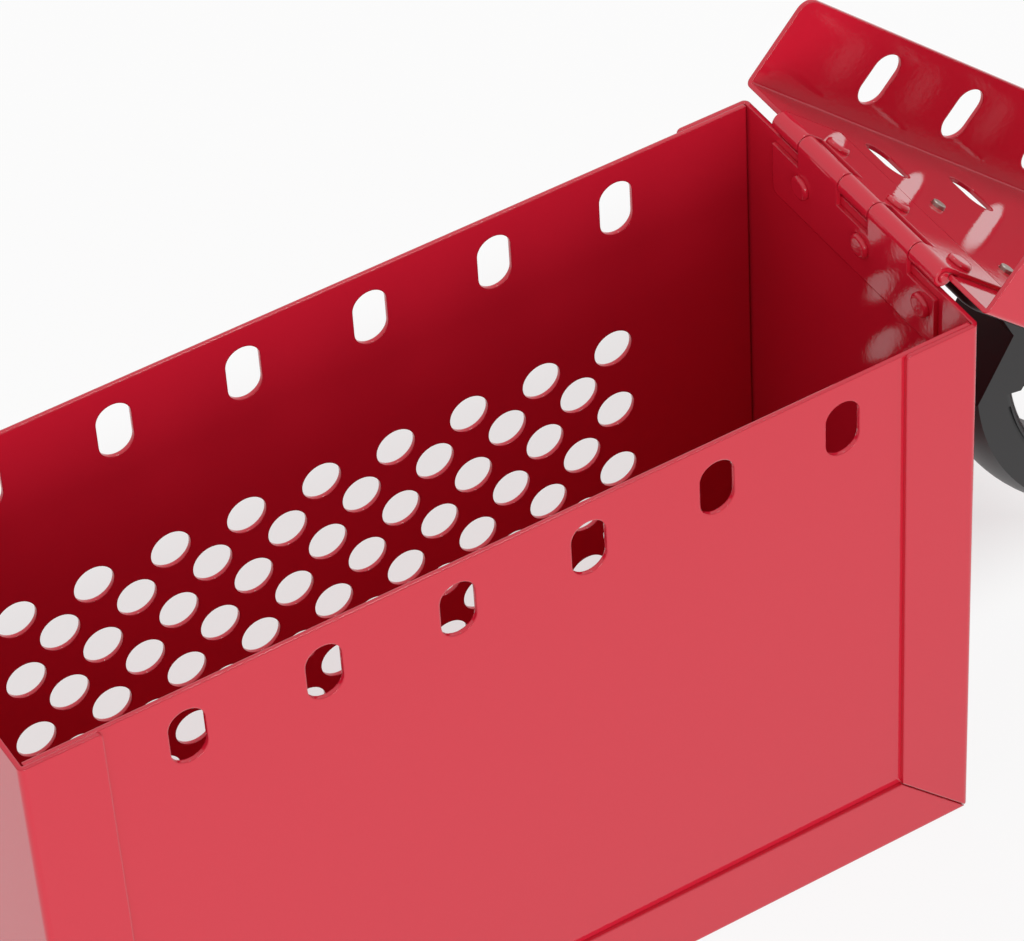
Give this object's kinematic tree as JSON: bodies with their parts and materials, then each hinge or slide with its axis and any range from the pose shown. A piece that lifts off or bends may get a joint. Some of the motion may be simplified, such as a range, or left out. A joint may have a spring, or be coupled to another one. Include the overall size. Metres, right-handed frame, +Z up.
{
  "type": "group lockout box",
  "caption": "Rectangular sheet steel lockout box with padlock slots along both sides, a perforated back, and a slotted lid with a bow handle, hinged at one end.",
  "frame": {"origin": "centre of the box's base, on the surface it stands on", "axes": "+X to the hinged end, +Y to the perforated back, +Z up"},
  "size_m": [0.4585, 0.1024, 0.1905],
  "materials": {
    "red_powder_coat": "glossy red powder coat on steel",
    "black_plastic": "black moulded plastic, satin",
    "zinc_steel": "zinc plated steel"
  },
  "bodies": {
    "box": {"body_wrap": "red_powder_coat", "front_panel": "red_powder_coat", "back_panel": "red_powder_coat", "hinge_body_leaf": "red_powder_coat", "body_leaf_rivets": "red_powder_coat", "hinge_pin": "red_powder_coat"},
    "lid": {"lid": "red_powder_coat", "hinge_lid_leaf": "red_powder_coat", "lid_leaf_rivets": "red_powder_coat", "handle": "black_plastic", "handle_screws": "zinc_steel"}
  },
  "joints": [
    {"name": "lid_hinge", "type": "hinge", "parent": "box", "child": "lid", "pos_m": [0.1273, 0, 0.1725], "axis": [0, -1, 0], "range_deg": [0, 222.57]}
  ]
}
